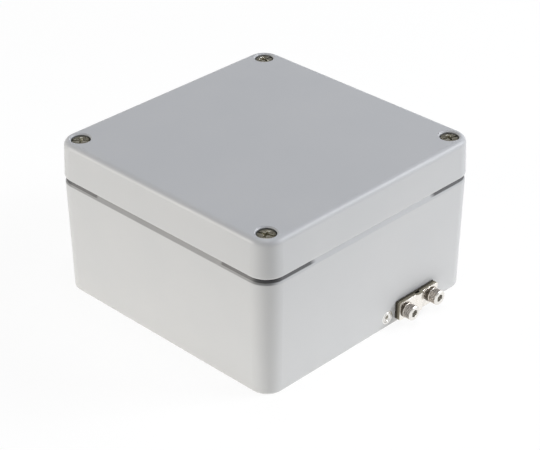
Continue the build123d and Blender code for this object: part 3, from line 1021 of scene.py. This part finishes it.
# %% Cold headed stainless steel of the lid screws
def lid_screw_steel():
    """Dark and warm, with a lighter painted sheen in the recess, a painted glint on the slot edges,
    darker thread valleys and turned rings.
    """
    material, tree, shader, tone, scratches = worn_metal(
        "cold_headed_stainless_lid_screw", "#A5A192", "#7C7769", 0.24, 0.36)
    radius = own_radius(tree)
    height = own_height(tree)
    # A lighter tint in the recess: a painted sheen, so that its walls glint
    in_head = between(tree, height, -0.9 * lid_cross_depth, -0.25 * mm)
    in_recess = between(tree, radius, -unlimited, lid_head_radius - 0.4 * mm)
    recess = product(tree, in_head, in_recess)
    painted_light_tone = blend(tree, recess, tone, "#A9A594")
    # A near white ring along the edges of the slot and the cross: a painted glint
    on_edge = between(tree, height, -0.3 * mm, -0.02 * mm)
    inner_edge = between(tree, radius, -unlimited, lid_head_radius - lid_head_round - 0.1 * mm)
    painted_glint = product(tree, on_edge, inner_edge)
    painted_light_tone = blend(tree, painted_glint, painted_light_tone, "#FBF9F2")
    # Darker in the thread valleys below the neck
    deep_thread = between(tree, radius, lid_neck_radius - 1.0 * mm, lid_shank_radius - 0.35 * mm)
    on_shank = between(tree, height, -unlimited, neck_end)
    valley = product(tree, deep_thread, on_shank)
    final = blend(tree, valley, painted_light_tone, "#6B6759")
    relief = turned_relief(tree, scratches, 0.35)
    join_finish(tree, shader, final, relief, 0.03 * mm)
    return material


# %% Stainless steel of the socket screws
def socket_screw_steel():
    """Bright end faces, painted light on the knurl crests, painted shade in the valleys and the socket,
    and darker thread valleys.
    """
    material, tree, shader, tone, scratches = worn_metal(
        "knurled_stainless_socket_screw", "#F1EFEB", "#E4E1DB", 0.22, 0.34)
    radius = own_radius(tree)
    height = own_height(tree)
    valley_radius = earth_head_radius - knurl_depth
    on_side = between(tree, height, knurl_low / 2, knurl_high + 0.05 * mm)
    outside = between(tree, radius, valley_radius - 0.15 * mm, unlimited)
    knurl = product(tree, on_side, outside)
    # Painted light on the knurl crests and painted shade in its valleys
    crest = ramp(tree, radius, valley_radius + 0.02 * mm, earth_head_radius - 0.02 * mm)
    knurl_light_and_shade = blend(tree, crest, "#544C45", "#EAE3DB")
    sides = blend(tree, knurl, tone, knurl_light_and_shade)
    # Painted shade in the socket
    deep = between(tree, height, 0, earth_head_height - 0.3 * mm)
    in_socket = between(tree, radius, -unlimited, earth_socket_width * 0.6)
    socket = product(tree, deep, in_socket)
    painted_light_tone = blend(tree, socket, sides, "#D0CEC9")
    # Darker in the thread valleys
    final = blend(tree, thread_valley(tree), painted_light_tone, "#6A655C")
    relief = turned_relief(tree, scratches, 0.3)
    join_finish(tree, shader, final, relief, 0.03 * mm)
    return material


# %% Zinc plated steel of the slotted inner screw
def slotted_screw_steel():
    """Bright zinc with a bluish tint, and darker thread valleys."""
    material, tree, shader, tone, scratches = worn_metal(
        "zinc_plated_slotted_screw", "#C9CCCF", "#B2B5B8", 0.25, 0.38)
    # Darker in the thread valleys
    final = blend(tree, thread_valley(tree), tone, "#6E6F70")
    relief = turned_relief(tree, scratches, 0.4)
    join_finish(tree, shader, final, relief, 0.03 * mm)
    return material


# %% Stainless steel of the flush screw
def flush_screw_steel():
    """A bright rim and a bright dish, with painted shade in a band round the groove and in the socket.
    """
    material, tree, shader, tone, scratches = worn_metal(
        "turned_stainless_flush_screw", "#F8F7F4", "#EEEDE9", 0.25, 0.36)
    radius = own_radius(tree)
    height = own_height(tree)
    # Painted shade in a band round the turned groove
    band_rise = ramp(tree, radius, flush_groove_radius - 0.4 * mm, flush_groove_radius - 0.2 * mm)
    band_fall = ramp(tree, radius, flush_groove_radius + 0.25 * mm,
                     flush_groove_radius + 0.45 * mm, 1.0, 0.0)
    band = product(tree, band_rise, band_fall)
    ringed = blend(tree, band, tone, "#D0CFCB")
    # Painted shade deep in the socket
    deep = between(tree, height, -unlimited, -flush_dish_depth - 0.15 * mm)
    final = blend(tree, deep, ringed, "#E2E0DA")
    relief = turned_relief(tree, scratches, 0.4)
    join_finish(tree, shader, final, relief, 0.03 * mm)
    return material


# %% Nickel plated brass and its sheared edges in painted shade
rolling_mark = 0.3 * mm
shear_mark = 0.25 * mm


def nickel_plated_brass():
    """Pale warm faces with faint marks from rolling, along the strip."""
    material, tree, shader, tone, scratches = worn_metal(
        "nickel_plated_brass_strip", "#FBF8F3", "#F2EDE5", 0.22, 0.32)
    along = add(tree, "Mapping", {"Vector": own_place(tree), "Scale": (0.06, 1, 1)})
    marks = noise(tree, along, rolling_mark, 2.0)
    relief = calc(tree, "MULTIPLY_ADD", marks, 0.7, scratches)
    join_finish(tree, shader, tone, relief, 0.02 * mm)
    return material


def sheared_and_shaded_brass(name, light, dark):
    """Dull olive edge where the strip was cut, painted darker as shade, with upright marks from the
    shears.
    """
    material, tree, shader, tone, scratches = worn_metal(name, light, dark, 0.34, 0.5)
    upright = add(tree, "Mapping", {"Vector": own_place(tree), "Scale": (1, 1, 0.12)})
    marks = noise(tree, upright, shear_mark, 2.0)
    relief = calc(tree, "MULTIPLY_ADD", marks, 1.5, scratches)
    join_finish(tree, shader, tone, relief, 0.05 * mm)
    return material


# %% Spring steel of the washers
def spring_steel():
    """Dark heat treated spring steel, with marks round the ring from coiling the wire."""
    material, tree, shader, tone, scratches = worn_metal(
        "blackened_spring_steel", "#6A635A", "#4A443D", 0.3, 0.45)
    relief = turned_relief(tree, scratches, 0.5)
    join_finish(tree, shader, tone, relief, 0.04 * mm)
    return material


# %% [markdown]
# ## Rubber and nylon
# The gasket is a cord of black EPDM rubber: matt, a little dusty, with fine lines along its
# length from the die. The retainers are moulded from natural nylon, which is creamy and lets a
# little light in, with a satin skin.

# %% Gasket rubber and retainer nylon
rubber_dust = 6 * mm
die_line = 0.4 * mm
nylon_cloud = 2.5 * mm


def gasket_rubber():
    """Matt black rubber with dust on it."""
    material, tree, shader = new_material("extruded_epdm_rubber")
    place = add(tree, "TexCoord", out="Object")
    dust_and_shade = noise(tree, place, rubber_dust, 5.0)
    tone = blend(tree, dust_and_shade, "#232425", "#3A3B3C")
    gloss = follow(tree, dust_and_shade, 0.62, 0.82)
    upright = add(tree, "Mapping", {"Vector": place, "Scale": (0.1, 0.1, 1)})
    lines = noise(tree, upright, die_line, 3.0)
    tree.links.new(gloss, shader.inputs["Roughness"])
    join_finish(tree, shader, tone, lines, 0.06 * mm)
    return material


def retainer_nylon():
    """Natural nylon with a satin moulded skin."""
    material, tree, shader = new_material("injection_moulded_nylon")
    place = add(tree, "TexCoord", out="Object")
    cloud = noise(tree, place, nylon_cloud, 3.0)
    tone = blend(tree, cloud, "#D6CFBC", "#E2DCCB")
    gloss = follow(tree, cloud, 0.38, 0.5)
    shader.inputs["Subsurface Weight"].default_value = 0.15
    shader.inputs["Subsurface Radius"].default_value = (1.0 * mm, 0.8 * mm, 0.5 * mm)
    tree.links.new(gloss, shader.inputs["Roughness"])
    join_finish(tree, shader, tone, cloud, 0.05 * mm, strength=0.3)
    return material


dress_node("lid_gasket", gasket_rubber())
nylon = retainer_nylon()
for corner_name in corner_names:
    dress_node("screw_retainer_" + corner_name, nylon)

# %% [markdown]
# ## Finishes onto the modelled pieces
# A turned piece has one finish all over. A strip has three, chosen by where a face looks: up,
# sideways or down, so that its sides and its underside are darker copies of the brass, painted
# in shade. The clamp's and the saddle's sheared sides are dull, and the base plate, which is
# half hidden behind the clamp, is painted in deep shade all over.

# %% Materials onto the modelled pieces
plate_face = nickel_plated_brass()
edge_shade_finish = sheared_and_shaded_brass("sheared_and_shaded_brass", "#A09A8A", "#857F6F")
# The darkest brass is painted deep shade, for the hidden base strip and the clamp's underside
deep_shade_finish = sheared_and_shaded_brass("deep_shaded_brass", "#5C574C", "#444037")
single_finish = {
    lid_screw: lid_screw_steel(),
    earth_screw: socket_screw_steel(),
    flush_screw: flush_screw_steel(),
    slotted_screw: slotted_screw_steel(),
    spring_washer: spring_steel(),
}
for model, finish in single_finish.items():
    model.data.materials.clear()
    model.data.materials.append(finish)

strip_finish = {
    base_strip: (deep_shade_finish, deep_shade_finish, deep_shade_finish),
    clamp_strip: (plate_face, edge_shade_finish, deep_shade_finish),
    saddle: (plate_face, edge_shade_finish, edge_shade_finish),
}
for strip, finishes in strip_finish.items():
    strip.data.materials.clear()
    for finish in finishes:
        strip.data.materials.append(finish)
    # Faces that look sideways or down get the darker brass as painted shade
    for face in strip.data.polygons:
        if face.normal.z > 0.3:
            face.material_index = 0
        else:
            face.material_index = 2 if face.normal.z < -0.3 else 1

# %% [markdown]
# ## Everything to its place
# The pieces stood at the origin, so each is now copied to its place with its own mesh. The
# front wall leans out by its draft of 1.2 degrees, and the terminal leans with it. Each piece
# replaces the plain solid of the frame and rides on the same body, so it moves as that does.

# %% Places of the pieces
body_draft = math.radians(1.2)
shoulder_height = 67.0 * mm
terminal_x = 34.8 * mm
terminal_z = 8.5 * mm
flush_screw_x = 13.2 * mm
flush_screw_z = 6.5 * mm
inner_block_height = 17.0 * mm
inner_terminal_y = -68.2 * mm


def wall_place(x, z, out=0.0):
    """The matrix that stands a piece on the front wall, its z axis pointing out of the wall."""
    wall_y = body_low.y + (shoulder_height - z) * math.tan(body_draft)
    outwards = Vector((0, -math.cos(body_draft), -math.sin(body_draft)))
    upwards = Vector((0, -math.sin(body_draft), math.cos(body_draft)))
    turn = Matrix((Vector((1, 0, 0)), upwards, outwards)).transposed().to_4x4()
    return Matrix.Translation(Vector((x, wall_y, z)) + outwards * out) @ turn


def stand_in(piece, name, node, body, matrix):
    """Copy a piece to its place, where it takes over from a node of the frame."""
    placed = copy_to(piece, name, matrix)
    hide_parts(node)
    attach(placed, body)
    print(name, "takes over from", node, "and rides on", body)


lid_slot_angles = {"front_left": -70, "front_right": -25, "back_left": -45, "back_right": -13}
for corner_name, angle in lid_slot_angles.items():
    turn = Matrix.Rotation(math.radians(angle), 4, "Z")
    place = Matrix.Translation(lid_screw_places[corner_name]) @ turn
    stand_in(lid_screw, "captive_screw_" + corner_name, "lid_screw_" + corner_name,
             "screw_" + corner_name, place)

plates_thickness = base_strip_thickness + clamp_strip_thickness
stand_in(base_strip, "earth_base_strip", "earth_base_plate", "box",
         wall_place(terminal_x, terminal_z))
stand_in(clamp_strip, "earth_clamp_strip", "earth_clamp_plate", "earth_clamp",
         wall_place(terminal_x, terminal_z, base_strip_thickness))
for side_name, side in (("left", -1), ("right", 1)):
    across = Matrix.Translation((side * earth_pitch / 2, 0, 0))
    washer_place = wall_place(terminal_x, terminal_z, plates_thickness) @ across
    stand_in(spring_washer, "earth_spring_washer_" + side_name, "earth_washer_" + side_name,
             "earth_clamp", washer_place)
    screw_place = wall_place(terminal_x, terminal_z, plates_thickness + washer_thickness) @ across
    stand_in(earth_screw, "earth_cap_screw_" + side_name, "earth_screw_" + side_name,
             "earth_bolt_" + side_name, screw_place)
stand_in(flush_screw, "flush_wall_screw", "countersunk_screw", "box",
         wall_place(flush_screw_x, flush_screw_z))

inner_place = Vector((terminal_x, inner_terminal_y, inner_block_height))
stand_in(saddle, "inner_terminal_saddle", "inner_earth_saddle", "inner_saddle",
         Matrix.Translation(inner_place))
washer_lift = Vector((0, 0, saddle_top))
stand_in(spring_washer, "inner_spring_washer", "inner_earth_washer", "inner_saddle",
         Matrix.Translation(inner_place + washer_lift))
screw_lift = Vector((0, 0, saddle_top + washer_thickness))
stand_in(slotted_screw, "inner_slotted_screw", "inner_earth_screw", "inner_bolt",
         Matrix.Translation(inner_place + screw_lift))

for model in (*single_finish, *strip_finish):
    bpy.data.objects.remove(model, do_unlink=True)
